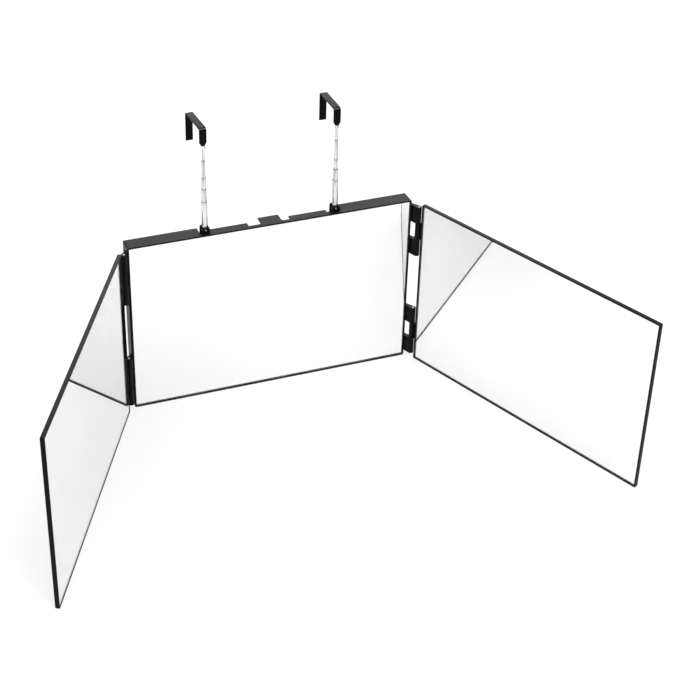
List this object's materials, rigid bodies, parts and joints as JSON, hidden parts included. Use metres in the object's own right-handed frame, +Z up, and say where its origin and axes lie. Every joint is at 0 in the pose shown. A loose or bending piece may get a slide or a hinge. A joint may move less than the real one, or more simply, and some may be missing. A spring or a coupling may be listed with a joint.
{
  "type": "trifold vanity mirror",
  "caption": "Folding panel mirror: a centre tray with hinged side wings that stands by itself or hangs over a door on telescopic, fold-away hook rods.",
  "frame": {"origin": "middle of the underside of the centre tray", "axes": "+X along the tray to its right, +Y to its back, +Z up"},
  "size_m": [0.6037, 0.3532, 0.3186],
  "materials": {
    "tray_moulding": "black ABS, injection moulded, satin",
    "wing_moulding": "black ABS, injection moulded, satin",
    "mirror_glass": "silvered float glass, ground edge",
    "foam_tape": "closed-cell foam tape",
    "chrome_rod": "bright chrome plate on drawn tube",
    "hook_strap": "black powder coat on steel strap",
    "steel_pin": "drawn steel pin"
  },
  "bodies": {
    "centre": {"centre_tray": "tray_moulding", "centre_mirror_glass": "mirror_glass", "centre_foam_tape": "foam_tape", "left_lower_hinge_pin": "steel_pin", "left_upper_hinge_pin": "steel_pin", "right_lower_hinge_pin": "steel_pin", "right_upper_hinge_pin": "steel_pin", "left_pivot_pin": "steel_pin", "right_pivot_pin": "steel_pin"},
    "left_wing": {"left_wing_frame": "wing_moulding", "left_mirror_glass": "mirror_glass", "left_foam_tape": "foam_tape"},
    "left_rod": {"left_rod_foot": "chrome_rod", "left_base_tube": "chrome_rod"},
    "left_section_2": {"left_tube_2": "chrome_rod"},
    "left_section_3": {"left_tube_3": "chrome_rod"},
    "left_section_4": {"left_tube_4": "chrome_rod"},
    "left_tip": {"left_tip_rod": "chrome_rod"},
    "left_hook": {"left_door_hook": "hook_strap"},
    "right_wing": {"right_wing_frame": "wing_moulding", "right_mirror_glass": "mirror_glass", "right_foam_tape": "foam_tape"},
    "right_rod": {"right_rod_foot": "chrome_rod", "right_base_tube": "chrome_rod"},
    "right_section_2": {"right_tube_2": "chrome_rod"},
    "right_section_3": {"right_tube_3": "chrome_rod"},
    "right_section_4": {"right_tube_4": "chrome_rod"},
    "right_tip": {"right_tip_rod": "chrome_rod"},
    "right_hook": {"right_door_hook": "hook_strap"}
  },
  "joints": [
    {"name": "left_wing_fold", "type": "hinge", "parent": "centre", "child": "left_wing", "pos_m": [-0.1627, -0.0094, 0.099], "axis": [0, 0, -1], "range_deg": [-117.2, 62.8]},
    {"name": "left_rod_fold", "type": "hinge", "parent": "centre", "child": "left_rod", "pos_m": [-0.0725, 0, 0.2027], "axis": [0, -1, 0], "range_deg": [-90, 0]},
    {"name": "left_slide_1", "type": "slide", "parent": "left_rod", "child": "left_section_2", "axis": [0, 0, 1], "range_m": [-0.0139, 0.0068]},
    {"name": "left_slide_2", "type": "slide", "parent": "left_section_2", "child": "left_section_3", "axis": [0, 0, 1], "range_m": [-0.0117, 0.0097]},
    {"name": "left_slide_3", "type": "slide", "parent": "left_section_3", "child": "left_section_4", "axis": [0, 0, 1], "range_m": [-0.0191, 0.003]},
    {"name": "left_slide_4", "type": "slide", "parent": "left_section_4", "child": "left_tip", "axis": [0, 0, 1], "range_m": [-0.0117, 0.0111]},
    {"name": "left_hook_swivel", "type": "hinge", "parent": "left_tip", "child": "left_hook", "pos_m": [-0.0725, 0, 0.2996], "axis": [0, 0, -1], "continuous": true},
    {"name": "right_wing_fold", "type": "hinge", "parent": "centre", "child": "right_wing", "pos_m": [0.1645, -0.0148, 0.099], "axis": [0, 0, 1], "range_deg": [-112.2, 67.8]},
    {"name": "right_rod_fold", "type": "hinge", "parent": "centre", "child": "right_rod", "pos_m": [0.0725, 0, 0.2027], "axis": [0, 1, 0], "range_deg": [-90, 0]},
    {"name": "right_slide_1", "type": "slide", "parent": "right_rod", "child": "right_section_2", "axis": [0, 0, 1], "range_m": [-0.0125, 0.0082]},
    {"name": "right_slide_2", "type": "slide", "parent": "right_section_2", "child": "right_section_3", "axis": [0, 0, 1], "range_m": [-0.0105, 0.0109]},
    {"name": "right_slide_3", "type": "slide", "parent": "right_section_3", "child": "right_section_4", "axis": [0, 0, 1], "range_m": [-0.0213, 0.0008]},
    {"name": "right_slide_4", "type": "slide", "parent": "right_section_4", "child": "right_tip", "axis": [0, 0, 1], "range_m": [-0.012, 0.0108]},
    {"name": "right_hook_swivel", "type": "hinge", "parent": "right_tip", "child": "right_hook", "pos_m": [0.0725, 0, 0.2995], "axis": [0, 0, 1], "continuous": true}
  ]
}
